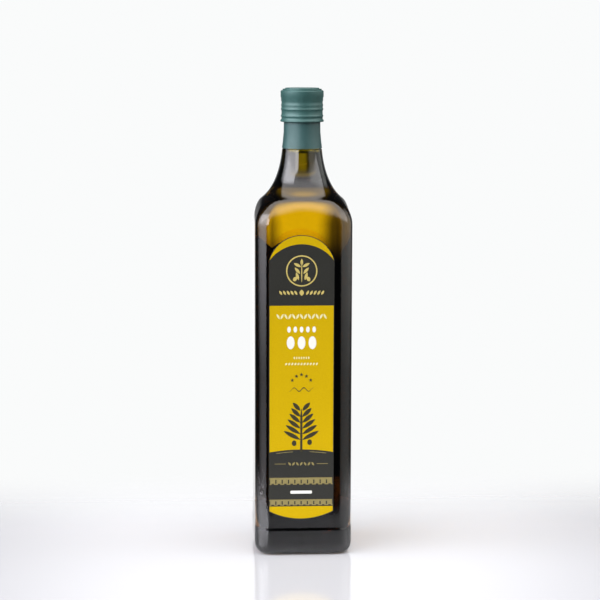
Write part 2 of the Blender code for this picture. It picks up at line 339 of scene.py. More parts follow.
class Tree:
    """Adds, sets and links the nodes of one tree."""

    def __init__(self, tree: bpy.types.NodeTree) -> None:
        """Takes the tree."""
        self.tree = tree

    def feed(self, value: Feed, socket: Socket) -> None:
        """Links or sets a socket.

        Args:
            value: another socket, or a plain value, a colour without its alpha.
            socket: the socket that gets it.
        """
        if isinstance(value, Socket):
            self.tree.links.new(value, socket)
        else:
            socket.default_value = (*value, 1.0) if socket.type == "RGBA" else value

    def add(self, kind: str, output: str, inputs: dict[str | int, Feed], **settings: str) -> Socket:
        """Adds a node.

        Args:
            kind: its type, without the word that all types start with.
            output: name of the wanted output.
            inputs: what each input gets, by name or number.
            settings: the node's own settings.

        Returns:
            The wanted output.
        """
        node = self.tree.nodes.new(f"ShaderNode{kind}")
        for key, value in settings.items():
            setattr(node, key, value)
        for key, value in inputs.items():
            self.feed(value, node.inputs[key])
        return node.outputs[output]

    def math(self, operation: str, *values: Feed) -> Socket:
        """One sum on numbers."""
        return self.add("Math", "Value", dict(enumerate(values)), operation=operation)

    def product(self, first: Feed, *others: Feed) -> Socket:
        """Multiplies two or more numbers.

        Args:
            first: the first number.
            others: the others.

        Returns:
            Their product.
        """
        for other in others:
            first = self.math("MULTIPLY", first, other)
        return first

    def ramp(self, value: Socket, start: float, end: float, least: float = 0.0) -> Socket:
        """Rises smoothly to 1, also where the end lies lower than the start.

        Args:
            value: the number that is mapped.
            start: where the rise starts.
            end: where it reaches 1.
            least: what it rises from.

        Returns:
            The mapped number.
        """
        low, high = (least, 1.0) if start < end else (1.0, least)
        span = {"From Min": min(start, end), "From Max": max(start, end), "To Min": low, "To Max": high}
        return self.add("MapRange", "Result", {"Value": value, **span}, interpolation_type="SMOOTHSTEP")


class Surface(Tree):
    """The nodes of one material, around its shader."""

    def __init__(self, name: str) -> None:
        """Makes the material with its own shader and output.

        Args:
            name: the material's name.
        """
        self.material = bpy.data.materials.new(name)
        self.material.use_nodes = True
        super().__init__(self.material.node_tree)
        self.shader = self.tree.nodes["Principled BSDF"]
        self.output = self.tree.nodes["Material Output"]
        self.coords = self.add("TexCoord", "Object", {})

    def set(self, **values: Feed) -> None:
        """Sets or links the shader's own sockets, an underscore standing for a blank."""
        for key, value in values.items():
            self.feed(value, self.shader.inputs[key.replace("_", " ")])

    def noise(self, scale: float, detail: float = 2.0, stretch: Colour = (1.0, 1.0, 1.0)) -> Socket:
        """Even noise on the object, with bumps for each metre, finer layers and a stretched axis."""
        place = self.add("Mapping", "Vector", {"Vector": self.coords, "Scale": stretch})
        return self.add("TexNoise", "Fac", {"Vector": place, "Scale": scale, "Detail": detail})

    def spread(self, value: Socket, low: float, high: float) -> Socket:
        """Maps the middle half of a noise onto a range of values."""
        span = {"From Min": 0.25, "From Max": 0.75, "To Min": low, "To Max": high}
        return self.add("MapRange", "Result", {"Value": value, **span})

    def marked(self, name: str, low: float, high: float) -> Socket:
        """A mark on the faces, from 0 to 1, mapped onto a range of values."""
        mark = self.add("Attribute", "Fac", {}, attribute_name=name)
        return self.add("MapRange", "Result", {"Value": mark, "To Min": low, "To Max": high})

    def clouded(self, noise: Socket, first: Colour, second: Colour) -> Socket:
        """Mixes two colours by a noise."""
        colours = {"Factor": self.spread(noise, 0.0, 1.0), "A": first, "B": second}
        return self.add("Mix", "Result", colours, data_type="RGBA")

    def axes(self) -> bpy.types.bpy_prop_collection:
        """The object's X, Y and Z coordinate.

        Returns:
            The outputs for X, Y and Z.
        """
        node = self.tree.nodes.new("ShaderNodeSeparateXYZ")
        self.feed(self.coords, node.inputs["Vector"])
        return node.outputs

    def blend(self, share: Socket, shader: Socket) -> None:
        """Shows a shader by a share, and lets the rest of the light through."""
        parts = {0: share, 1: self.add("BsdfTransparent", "BSDF", {}), 2: shader}
        self.feed(self.add("MixShader", "Shader", parts), self.output.inputs["Surface"])

    def bump(self, height: Socket, strength: float, distance: float) -> None:
        """Gives the shader a bumpy surface."""
        depth = {"Height": height, "Strength": strength, "Distance": distance}
        self.set(Normal=self.add("Bump", "Normal", depth))

    def absorb(self, colour: Colour, density: float) -> None:
        """Fills the piece with an absorbing volume."""
        volume = self.add("VolumeAbsorption", "Volume", {"Color": colour, "Density": density})
        self.feed(volume, self.output.inputs["Volume"])


@dataclass(frozen=True)
class ClearFinish:
    """Tinted glass or oil, which bends light only on the faces that meet the air."""

    name: str
    ior: float
    tint: Colour
    density: float
    wave_scale: float
    wave_depth: float
    wave_stretch: Colour = (1.0, 1.0, 0.45)
    gloss: float = 0.5

    def make(self) -> bpy.types.Material:
        """Makes the material.

        Returns:
            The material.
        """
        surface = Surface(self.name)
        surface.set(Base_Color=(1.0, 1.0, 1.0), Roughness=0.0, IOR=self.ior, Transmission_Weight=1.0)
        surface.set(Coat_Roughness=0.0, Coat_IOR=1.5)
        surface.set(IOR=surface.marked(AIR_SIDE, 1.0, self.ior))
        surface.set(Coat_Weight=surface.marked(AIR_SIDE, 0.0, self.gloss))
        surface.absorb(self.tint, self.density)
        surface.bump(surface.noise(self.wave_scale, 1.0, self.wave_stretch), 1.0, self.wave_depth)
        return surface.material


@dataclass(frozen=True)
class FilmFinish:
    """Clear film in one printed colour, which light passes straight through."""

    name: str
    first: Colour
    second: Colour
    cloud_scale: float = 300.0

    def make(self) -> bpy.types.Material:
        """Makes the material.

        Returns:
            The material.
        """
        surface = Surface(self.name)
        surface.set(Roughness=0.0, IOR=1.0, Transmission_Weight=1.0)
        surface.set(Base_Color=surface.clouded(surface.noise(self.cloud_scale, 3.0), self.first, self.second))
        return surface.material


@dataclass(frozen=True)
class LacquerFinish:
    """Coloured lacquer on drawn aluminium."""

    name: str
    dark: Colour
    light: Colour
    roughness: float
    metallic: float = 0.20
    coat: float = 0.25
    coat_roughness: float = 0.42
    cloud_scale: float = 160.0
    rough_scale: float = 600.0
    grain_scale: float = 2600.0
    grain_depth: float = 0.00004

    def make(self) -> bpy.types.Material:
        """Makes the material.

        Returns:
            The material.
        """
        surface = Surface(self.name)
        surface.set(Metallic=self.metallic, Coat_Weight=self.coat, Coat_Roughness=self.coat_roughness)
        cloud = surface.noise(self.cloud_scale, 3.0, (1.0, 1.0, 0.35))
        surface.set(Base_Color=surface.clouded(cloud, self.dark, self.light))
        low, high = self.roughness - 0.05, self.roughness + 0.06
        surface.set(Roughness=surface.spread(surface.noise(self.rough_scale), low, high))
        surface.bump(surface.noise(self.grain_scale, 2.0, (1.0, 1.0, 0.5)), 0.25, self.grain_depth)
        return surface.material


@dataclass(frozen=True)
class PaperFinish:
    """Coated label paper in one printed colour."""

    name: str
    first: Colour
    second: Colour
    roughness: float = 0.42
    specular: float = 0.45
    cloud_scale: float = 900.0
    rough_scale: float = 350.0
    grain_scale: float = 5200.0
    grain_depth: float = 0.00003

    def make(self) -> bpy.types.Material:
        """Makes the material.

        Returns:
            The material.
        """
        surface = Surface(self.name)
        surface.set(Specular_IOR_Level=self.specular)
        surface.set(Base_Color=surface.clouded(surface.noise(self.cloud_scale, 3.0), self.first, self.second))
        low, high = self.roughness - 0.04, self.roughness + 0.05
        surface.set(Roughness=surface.spread(surface.noise(self.rough_scale), low, high))
        surface.bump(surface.noise(self.grain_scale), 0.18, self.grain_depth)
        return surface.material


GLASS = ClearFinish("bottle_glass_clear", 1.50, (0.922, 0.878, 0.055), 900.0, 26.0, 0.00004)
OIL = ClearFinish("golden_oil", 1.47, (0.9875, 0.853, 0.175), 40.0, 60.0, 0.00002)
CAP_LACQUER = LacquerFinish("cap_green_lacquer", (0.028, 0.088, 0.080), (0.038, 0.116, 0.107), 0.46)
SLEEVE_LACQUER = LacquerFinish("sleeve_green_lacquer", (0.026, 0.074, 0.072), (0.034, 0.096, 0.094), 0.48)


class Ink(Enum):
    """The printed colours of the labels."""

    FIELD = PaperFinish("label_dark_field", (0.0135, 0.0135, 0.010), (0.019, 0.019, 0.015), 0.46)
    YELLOW = PaperFinish("label_yellow", (0.455, 0.300, 0.0010), (0.500, 0.335, 0.0016), 0.48, 0.10)
    PALE = PaperFinish("label_pale_print", (0.64, 0.59, 0.28), (0.70, 0.65, 0.36), 0.48)
    WHITE = PaperFinish("label_white_print", (0.70, 0.69, 0.62), (0.75, 0.74, 0.68), 0.48)
    GOLD = PaperFinish("label_gold_print", (0.46, 0.37, 0.10), (0.53, 0.43, 0.14), 0.40)
    BAND = PaperFinish("label_band_print", (0.19, 0.155, 0.052), (0.25, 0.205, 0.075), 0.44)
    DARK = PaperFinish("label_dark_print", (0.026, 0.022, 0.006), (0.036, 0.030, 0.010), 0.46)
    FILM = FilmFinish("label_clear_yellow", (0.99, 0.91, 0.58), (0.98, 0.87, 0.50))


# The bottle.


@dataclass
class GlassBody:
    """The square glass bottle with its round neck, in metres.

    A profile lists half widths and heights from bottom to top, and in the two punts also corners.
    """

    half: float = 0.0350
    corner: float = 0.0120
    inner_corner: float = 0.0140
    wall: float = 0.0030
    heel_half: float = 0.0353
    heel_reach: float = 0.0063
    heel_height: float = 0.0079
    heel_lift: float = 0.0010
    heel_band: Profile = ((0.0353, 0.0180), (0.0352, 0.0190), (0.0351, 0.0200))
    panel_bottom: float = 0.0210
    panel_middle: float = 0.1300
    stand_width: float = 0.0045
    foot_punt: Profile = ((0.0205, 0.0011, 1.25), (0.0120, 0.0021, 1.10))
    floor: float = 0.0080
    floor_fillet: float = 0.0100
    floor_lift: float = 0.0020
    floor_punt: Profile = ((0.0190, 0.0007, 1.18), (0.0120, 0.0021, 1.12))
    floor_crown: float = 0.0026
    shoulder: Vector = field(default_factory=lambda: Vector((0.0350, 0.2420)))
    shoulder_handle: float = 0.0075
    ridge: Vector = field(default_factory=lambda: Vector((0.0290, 0.2588)))
    ridge_lean: float = math.radians(53.7)
    ridge_handles: tuple[float, float] = (0.0042, 0.0124)
    neck: Vector = field(default_factory=lambda: Vector((0.0145, 0.2933)))
    neck_lean: float = math.radians(4.0)
    neck_handle: float = 0.0101
    rounding: tuple[float, float] = (0.2400, 0.2750)
    finish: Profile = (
        (0.0137, 0.2937), (0.0131, 0.2990), (0.0125, 0.3055), (0.0124, 0.3127),
        (0.0136, 0.3142), (0.0136, 0.3335), (0.0128, 0.3343), (0.0108, 0.3343),
    )
    throat: Profile = ((0.0112, 0.2970), (0.0107, 0.2995), (0.0100, 0.3030), (0.0100, 0.3335))
    corner_steps: int = 14
    side_cuts: int = 9
    foot_steps: int = 8
    shoulder_steps: int = 12
    neck_steps: int = 22
    smooth_angle: float = 35.0

    def side(self) -> list[Vector]:
        """The outer side from the straight body to the top of the bare neck.

        Returns:
            Half widths and heights from bottom to top.
        """
        lean = Vector((math.sin(self.ridge_lean), -math.cos(self.ridge_lean)))
        neck_lean = Vector((math.sin(self.neck_lean), -math.cos(self.neck_lean)))
        below, above = self.ridge_handles
        handle = self.shoulder + Vector((0.0, self.shoulder_handle))
        convex = (self.shoulder, handle, self.ridge + lean * below, self.ridge)
        hollow = (self.ridge, self.ridge - lean * above, self.neck + neck_lean * self.neck_handle, self.neck)
        return curve_points(convex, self.shoulder_steps) + curve_points(hollow, self.neck_steps)[1:]

    def rings(self, points: Sequence[Vector], corner: float) -> list[Ring]:
        """Rings for a side profile, which turn round towards the neck.

        Args:
            points: half widths and heights.
            corner: radius of the square's corners.

        Returns:
            The rings.
        """
        made = []
        for point in points:
            share = smooth_step(point.y, *self.rounding)
            square = square_diagonal(point.x, min(corner, point.x))
            made.append(Ring(point.x, point.y, 1.0 + (square - 1.0) * (1.0 - share)))
        return made

    def inner_side(self, grow: float) -> list[Vector]:
        """The side of the hollow, grown into the wall by a little."""
        return offset_points(self.side(), self.wall - grow)

    def start(
        self, name: str, half: float, corner: float, base: float, fillet: float, lift: float, stretch: float
    ) -> Solid:
        """Starts an upright square form with round corners and a rounded foot.

        Args:
            name: name of the piece.
            half: half of its width.
            corner: radius of its upright corners.
            base: height of its lowest face.
            fillet: how far the rounding of its foot reaches inwards.
            lift: how far it is drawn up past the rounding.
            stretch: the rounding's height divided by its reach.

        Returns:
            The solid in edit mode.
        """
        solid = Solid(name)
        solid.start_square(half, corner, base, self.corner_steps, self.side_cuts)
        solid.draw([Ring(half, base + fillet + lift, SQUARE)])
        solid.round_foot(base, fillet, self.foot_steps, stretch)
        return solid

    def start_hollow(self, name: str, grow: float) -> Solid:
        """Starts the form of the hollow: its floor with a wide fillet.

        Args:
            name: name of the piece.
            grow: how far it grows into the glass.

        Returns:
            The solid, with its top face selected.
        """
        half, corner = self.half - self.wall + grow, self.inner_corner + grow
        base = self.floor - grow
        solid = self.start(name, half, corner, base, self.floor_fillet, self.floor_lift, 1.0)
        punt = [Ring(reach, base + rise, corner) for reach, rise, corner in self.floor_punt]
        solid.raise_floor(base, punt, base + self.floor_crown)
        solid.select_top()
        solid.draw([Ring(half, height, SQUARE) for height in (self.panel_bottom, self.rounding[0])])
        return solid

    def build_hollow(self, oil_rim: float) -> Solid:
        """Draws the inner wall up to the mouth, with a ring where the oil ends.

        Args:
            oil_rim: height up to which the oil wets the inner wall.

        Returns:
            The solid, open at both ends of its wall.
        """
        solid = self.start_hollow("hollow", 0.0)
        side = [point for point in self.inner_side(0.0) if point.y > self.rounding[0]]
        solid.draw(self.rings(cut_side(side, oil_rim), self.inner_corner))
        solid.draw([Ring(*ring) for ring in self.throat])
        bpy.ops.mesh.delete(type="ONLY_FACE")
        solid.mark_air(lambda middle, normal: middle.z > oil_rim)
        return solid

    def build(self, oil_rim: float) -> Piece:
        """Models the shell.

        Args:
            oil_rim: height up to which the oil wets the inner wall.

        Returns:
            The finished bottle.
        """
        hollow = self.build_hollow(oil_rim)
        half, reach, stretch = self.heel_half, self.heel_reach, self.heel_height / self.heel_reach
        solid = self.start("bottle_glass_shell", half, self.corner, 0.0, reach, self.heel_lift, stretch)
        solid.select_level(0.0)
        bpy.ops.mesh.inset(thickness=self.stand_width)
        solid.select_level(0.0, 5)
        solid.draw([Ring(*ring) for ring in self.foot_punt])
        bpy.ops.mesh.poke()
        solid.select_top()
        solid.draw([Ring(*ring, SQUARE) for ring in self.heel_band])
        levels = (self.panel_bottom, self.panel_middle, self.rounding[0])
        solid.draw([Ring(self.half, height, SQUARE) for height in levels])
        solid.draw(self.rings(self.side(), self.corner))
        solid.draw([Ring(*ring) for ring in self.finish])
        bpy.ops.mesh.delete(type="ONLY_FACE")
        solid.mark_air(lambda middle, normal: True)
        self.join(solid, hollow)
        solid.close(self.smooth_angle)
        solid.mark_air(lambda middle, normal: middle.z > oil_rim)
        return solid.made

    def join(self, outer: Solid, inner: Solid) -> None:
        """Joins the outer and the inner wall round the mouth.

        Args:
            outer: the outer wall, which the piece stays.
            inner: the inner wall.
        """
        deselect()
        inner.made.select_set(True)
        outer.made.select_set(True)
        bpy.context.view_layer.objects.active = outer.made
        bpy.ops.object.join()
        bpy.ops.object.mode_set(mode="EDIT")
        bpy.ops.mesh.select_mode(type="EDGE")
        bpy.ops.mesh.select_all(action="DESELECT")
        bpy.ops.mesh.select_non_manifold()
        bpy.ops.mesh.bridge_edge_loops()
        bpy.ops.mesh.select_mode(type="VERT")


@dataclass
class OilFill:
    """The oil, which reaches a little into the wall of the glass.

    The rim's steps say how far inside the wall and above the level its rings lie.
    """

    glass: GlassBody
    level: float = 0.2905
    grow: float = 0.0003
    meniscus: float = 0.0008
    rim_steps: Profile = ((0.0008, 0.0004), (0.0020, 0.0001), (0.0040, 0.0))
    level_slack: float = 0.0001
    facing_up: float = 0.2

    @property
    def rim(self) -> float:
        """Height of the raised rim at the wall."""
        return self.level + self.meniscus

    def at_surface(self, middle: Vector, normal: Vector) -> bool:
        """Whether a face is part of the oil's level surface."""
        return middle.z > self.level - self.level_slack and normal.z > self.facing_up

    def build(self) -> Piece:
        """Models the oil up to its level, with a raised rim at the wall.

        Returns:
            The finished oil.
        """
        glass = self.glass
        solid = glass.start_hollow("oil_fill", self.grow)
        side = cut_side(glass.inner_side(self.grow), self.rim)
        wet = [point for point in side if glass.rounding[0] < point.y < self.rim + HAIR]
        rings = glass.rings(wet, glass.inner_corner)
        solid.draw(rings)
        rim = rings[-1]
        steps = [(rim.half - inside, self.level + above) for inside, above in self.rim_steps]
        solid.draw([Ring(*step, rim.corner) for step in steps])
        solid.close(glass.smooth_angle)
        solid.mark_air(self.at_surface)
        return solid.made


# The closure.


@dataclass
class ScrewCap:
    """The rolled metal cap with its beads, flared lip and raised disc.

    Its profile lists radii and heights from the bore up, a bead's heights from its own middle.
    """

    bore: float = 0.0141
    ceiling: float = 0.3366
    lip: Profile = (
        (0.0141, 0.3130), (0.01545, 0.3130), (0.01575, 0.3133), (0.01575, 0.3139), (0.01545, 0.3143),
        (0.0149, 0.3153),
    )
    bead: Profile = (
        (0.0149, -0.0013), (0.015125, -0.0006), (0.01535, -0.0002),
        (0.01535, 0.0002), (0.015125, 0.0006), (0.0149, 0.0013),
    )
    bead_heights: tuple[float, float] = (0.3172, 0.3221)
    upper: Profile = (
        (0.0152, 0.3248), (0.0152, 0.3252), (0.0149, 0.3261), (0.0149, 0.3276), (0.0152, 0.3284),
        (0.0152, 0.3302), (0.01555, 0.3310), (0.01555, 0.3350), (0.01495, 0.3356),
    )
    disc: Profile = ((0.0128, 0.3356), (0.0124, 0.3360), (0.0124, 0.3370), (0.0120, 0.3374))
    points: int = 112
    edge_width: float = 0.00012
    smooth_angle: float = 32.0
    edge_angle: float = 30.0
    final_angle: float = 50.0

    def build(self) -> Piece:
        """Models the cap.

        Returns:
            The finished cap.
        """
        solid = Solid("screw_cap")
        solid.start_circle(self.bore, self.ceiling, self.points)
        beads = [(radius, middle + rise) for middle in self.bead_heights for radius, rise in self.bead]
        solid.draw([Ring(*ring) for ring in (*self.lip, *beads, *self.upper, *self.disc)])
        cap = solid.close(self.smooth_angle)
        bevel = cap.modifiers.new("edge_rounding", "BEVEL")
        bevel.width, bevel.segments = self.edge_width, 2
        bevel.limit_method, bevel.angle_limit = "ANGLE", math.radians(self.edge_angle)
        bpy.ops.object.modifier_apply(modifier=bevel.name)
        bpy.ops.object.shade_smooth_by_angle(angle=math.radians(self.final_angle))
        return cap


@dataclass
class NeckSleeve:
    """The part of the closure that stays on the neck."""

    wall: Profile = ((0.0145, 0.2940), (0.0139, 0.2990), (0.0133, 0.3055), (0.0132, 0.3127))
    thickness: float = 0.0004
    points: int = 112

    def build(self) -> Piece:
        """Models the sleeve as one thin wall.

        Returns:
            The finished sleeve.
        """
        solid = Solid("closure_sleeve")
        solid.start_circle(*self.wall[0], self.points, filled=False)
        outer = [Ring(*ring) for ring in self.wall]
        inner = [Ring(ring.half - self.thickness, ring.height) for ring in reversed(outer)]
        solid.draw([*outer[1:], *inner, outer[0]], loop=True)
        return solid.close(40.0, merge=0.00002)


# The labels.


class Print(Solid):
    """Thin printed shapes on an upright face, all in one ink."""

    oval_points = 16
    star_points = 10
    ring_points = 56
    bar_rounding = 0.3

    def __init__(
        self,
        name: str,
        ink: Ink,
        face: float,
        relief: float,
        facing: float,
        shift: float,
        sink: float = 0.00004,
    ) -> None:
        """Opens an empty mesh for the shapes.

        Args:
            name: name of the piece.
            ink: its colour.
            face: place of the printed face along Y.
            relief: how far the print stands proud of it.
            facing: -1 for the front, 1 for the back.
            shift: how far the finished print moves along X.
            sink: how far inside the face the shapes start.
        """
        super().__init__(name)
        deselect()
        self.made = bpy.data.objects.new(name, bpy.data.meshes.new(name))
        bpy.context.scene.collection.objects.link(self.made)
        bpy.context.view_layer.objects.active = self.made
        self.made.select_set(True)
        self.ink, self.shift = ink, shift
        self.base = face - facing * sink
        self.depth = facing * (relief + sink)
        bpy.ops.object.mode_set(mode="EDIT")

    def thicken(self) -> None:
        """Gives the selected flat shape its thickness and lets go of it."""
        bpy.ops.mesh.extrude_region_move(TRANSFORM_OT_translate={"value": (0.0, self.depth, 0.0)})
        bpy.ops.mesh.select_all(action="DESELECT")

    def finish_shape(self, mesh: bmesh.types.BMesh) -> None:
        """Takes over the points that were moved and gives the shape its thickness."""
        bmesh.update_edit_mesh(self.made.data)
        self.thicken()

    def grid(self, across: int, down: int, x: float, z: float) -> bmesh.types.BMesh:
        """Adds an upright grid of one metre and returns the edited mesh.

        Args:
            across: cells across.
            down: cells down.
            x: its middle.
            z: its middle's height.

        Returns:
            The mesh that is being edited.
        """
        bpy.ops.mesh.primitive_grid_add(
            x_subdivisions=across, y_subdivisions=down, size=1.0, location=(x, self.base, z), rotation=UPRIGHT
        )
        return self.edit_mesh()

    def disc(self, points: int, radius: float, x: float, z: float) -> bmesh.types.BMesh:
        """Adds an upright round face and returns the edited mesh.

        Args:
            points: number of its points.
            radius: its radius.
            x: its middle.
            z: its middle's height.

        Returns:
            The mesh that is being edited.
        """
        bpy.ops.mesh.primitive_circle_add(
            vertices=points, radius=radius, fill_type="NGON", location=(x, self.base, z), rotation=UPRIGHT
        )
        return self.edit_mesh()

    def plate(self, half: float, low: Curve, high: Curve, columns: int = 1, middle: float = 0.0) -> None:
        """Adds a field between two curves.

        Args:
            half: half of its width.
            low: height of its lower edge at each x.
            high: height of its upper edge at each x.
            columns: number of upright strips.
            middle: its middle.
        """
        mesh = self.grid(columns, 1, middle, 0.0)
        for point in [found for found in mesh.verts if found.select]:
            x = middle + (point.co.x - middle) * 2.0 * half
            point.co.x, point.co.z = x, (high if point.co.z > 0.0 else low)(x)
        self.finish_shape(mesh)

    def bar(self, x: float, z: float, width: float, height: float) -> None:
        """Adds a plain bar with its corners cut round.

        Args:
            x: its middle.
            z: its middle's height.
            width: its width.
            height: its height.
        """
        bpy.ops.mesh.primitive_plane_add(size=1.0, location=(x, self.base, z), rotation=UPRIGHT)
        bpy.ops.transform.resize(value=(width, 1.0, height))
        bpy.ops.mesh.bevel(offset=min(width, height) * self.bar_rounding, segments=3, affect="VERTICES")
        self.thicken()

    def oval(
        self, x: float, z: float, length: float, width: float, turn: float = 90.0, point: float = 0.0
    ) -> None:
        """Adds an oval, or a leaf where its ends are drawn out.

        Args:
            x: its middle.
            z: its middle's height.
            length: its length.
            width: its width.
            turn: turn of its length from +X towards +Z, in degrees.
            point: how far its ends are drawn out, as a share of its length.
        """
        self.disc(self.oval_points, 0.5, 0.0, 0.0)
        bpy.ops.transform.resize(value=(length, 1.0, width))
        mesh = self.edit_mesh()
        spin = math.radians(turn)
        for corner in [found for found in mesh.verts if found.select]:
            along, across = corner.co.x, corner.co.z
            ends = abs(along) / (length / 2.0)
            across *= 1.0 - point * ends * ends
            corner.co.x = x + along * math.cos(spin) - across * math.sin(spin)
            corner.co.z = z + along * math.sin(spin) + across * math.cos(spin)
        self.finish_shape(mesh)

    def star(self, x: float, z: float, radius: float, waist: float = 0.42) -> None:
        """Adds a star of five points.

        Args:
            x: its middle.
            z: its middle's height.
            radius: reach of its points.
            waist: reach of its inner corners, as a share of the radius.
        """
        mesh = self.disc(self.star_points, radius, x, z)
        middle = Vector((x, self.base, z))
        corners = sorted(
            (found for found in mesh.verts if found.select),
            key=lambda found: math.atan2(found.co.x - x, found.co.z - z),
        )
        start = min(range(self.star_points), key=lambda index: -corners[index].co.z)
        for index, corner in enumerate(corners):
            if (index - start) % 2:
                corner.co = middle + (corner.co - middle) * waist
        self.finish_shape(mesh)

    def ring(self, x: float, z: float, radius: float, width: float) -> None:
        """Adds a flat ring.

        Args:
            x: its middle.
            z: its middle's height.
            radius: its outer radius.
            width: width of its band.
        """

        def reach(place: Vector) -> float:
            """Distance from the ring's middle, or a metre off the paper."""
            return math.hypot(place.x - x, place.z - z) if abs(place.y - self.base) < HAIR else 1.0

        self.disc(self.ring_points, radius, x, z)
        bpy.ops.mesh.inset(thickness=width)
        self.select(
            "faces",
            lambda face: len(face.verts) == self.ring_points and reach(face.calc_center_median()) < width,
        )
        bpy.ops.mesh.delete(type="FACE")
        self.select("verts", lambda point: radius - 1.5 * width < reach(point.co) < radius * 1.01)
        self.thicken()

    def cells(self, rows: Sequence[str], x: float, z: float, cell: Vector) -> None:
        """Adds a pierced band, printed from the cells of a grid.

        Args:
            rows: the grid from top to bottom. A hash holds its cell's corners, and most
                bare cells beside it share them and stay printed too.
            x: its left side.
            z: its lower side.
            cell: width and height of one cell.
        """
        across, down = len(rows[0]), len(rows)
        size = (across * cell.x, down * cell.y)
        middle = (x + size[0] / 2.0, self.base, z + size[1] / 2.0)
        self.grid(across, down, middle[0], middle[2])
        bpy.ops.transform.resize(value=(size[0], 1.0, size[1]), center_override=middle)
        mesh = self.edit_mesh()
        for face in [found for found in mesh.faces if found.select]:
            place = face.calc_center_median()
            column = int((place.x - x) / cell.x)
            row = down - 1 - int((place.z - z) / cell.y)
            face.select_set(rows[row][column] != "#")
        self.flush(mesh)
        bpy.ops.mesh.delete(type="FACE")

        def inside(face: bmesh.types.BMFace) -> bool:
            """Whether a face is left of this grid.

            Args:
                face: the face.

            Returns:
                Whether it is one of this grid's printed cells.
            """
            place = face.calc_center_median()
            within = x < place.x < x + size[0] and z < place.z < z + size[1]
            return within and abs(place.y - self.base) < HAIR

        self.select("faces", inside)
        self.thicken()

    def close(self) -> Piece:
        """Turns the faces outwards, gives the ink and returns the piece.

        Returns:
            The finished print.
        """
        bpy.ops.mesh.select_all(action="SELECT")
        bpy.ops.mesh.normals_make_consistent(inside=False)
        bpy.ops.transform.translate(value=(self.shift, 0.0, 0.0))
        bpy.ops.object.mode_set(mode="OBJECT")
        self.made.data.materials.append(self.ink.value.make())
        return self.made


@dataclass(frozen=True)
class LeafRow:
    """A row of ovals or leaves, side by side.

    Args:
        start: middle of the first one.
        step: distance from one to the next.
        count: how many there are.
        height: height of their middles.
        size: length and width of each.
        turns: their turns in degrees, one after the other.
        point: how far their ends are drawn out.
    """

    start: float
    step: float
    count: int
    height: float
    size: tuple[float, float]
    turns: tuple[float, ...] = (90.0,)
    point: float = 0.0

    def draw(self, ink: Print) -> None:
        """Prints the row.

        Args:
            ink: the print that it goes into.
        """
        for index in range(self.count):
            turn = self.turns[index % len(self.turns)]
            ink.oval(self.start + index * self.step, self.height, *self.size, turn, self.point)


def level(height: float) -> Curve:
    """An edge that is level."""
    return lambda x: height


@dataclass
class Label:
    """One glued label, with an arched top and a bowed foot."""

    facing: float = -1.0
    shift: float = 0.0
    half: float = 0.0234
    glue: float = 0.03497
    face: float = 0.0356
    relief: float = 0.00006
    spring: float = 0.2163
    arch: float = 0.2342
    field_arch: float = 0.2277
    foot: float = 0.0274
    foot_corner: float = 0.0330
    columns: int = 40

    def arc(self, low: float, high: float, half: float) -> Curve:
        """A round arc over the label's width.

        Args:
            low: height at both sides.
            high: height in the middle, above or below.
            half: half of its width.

        Returns:
            The height of the arc at each x.
        """
        rise = high - low
        radius = (half * half + rise * rise) / (2.0 * abs(rise))
        sign = math.copysign(1.0, rise)

        def height(x: float) -> float:
            """Height of the arc at x."""
            inside = max(radius * radius - x * x, 0.0)
            return high - sign * (radius - math.sqrt(inside))

        return height

    def outline(self, margin: float = 0.0) -> tuple[Curve, Curve]:
        """The lower and upper edge, drawn in by a margin.

        Args:
            margin: how far the edges are drawn in.

        Returns:
            The lower and the upper edge.
        """
        half = self.half - margin
        low = self.arc(self.foot_corner + margin, self.foot + margin, half)
        high = self.arc(self.spring, self.arch - margin, half)
        return low, high

    def print(self, name: str, ink: Ink, layer: int = 0) -> Print:
        """Opens a print on the label's face, each layer a little higher."""
        face = self.facing * (self.face + layer * self.relief)
        return Print(name, ink, face, self.relief, self.facing, self.shift)

    def sheet(self, name: str, ink: Ink, low: Curve, high: Curve) -> Piece:
        """Models a sheet that is glued to the glass.

        Args:
            name: name of the piece.
            ink: its finish.
            low: its lower edge.
            high: its upper edge.

        Returns:
            The sheet.
        """
        depth = self.face - self.glue
        sheet = Print(name, ink, self.facing * self.glue, depth, self.facing, self.shift, sink=0.0)
        sheet.plate(self.half, low, high, self.columns)
        return sheet.close()


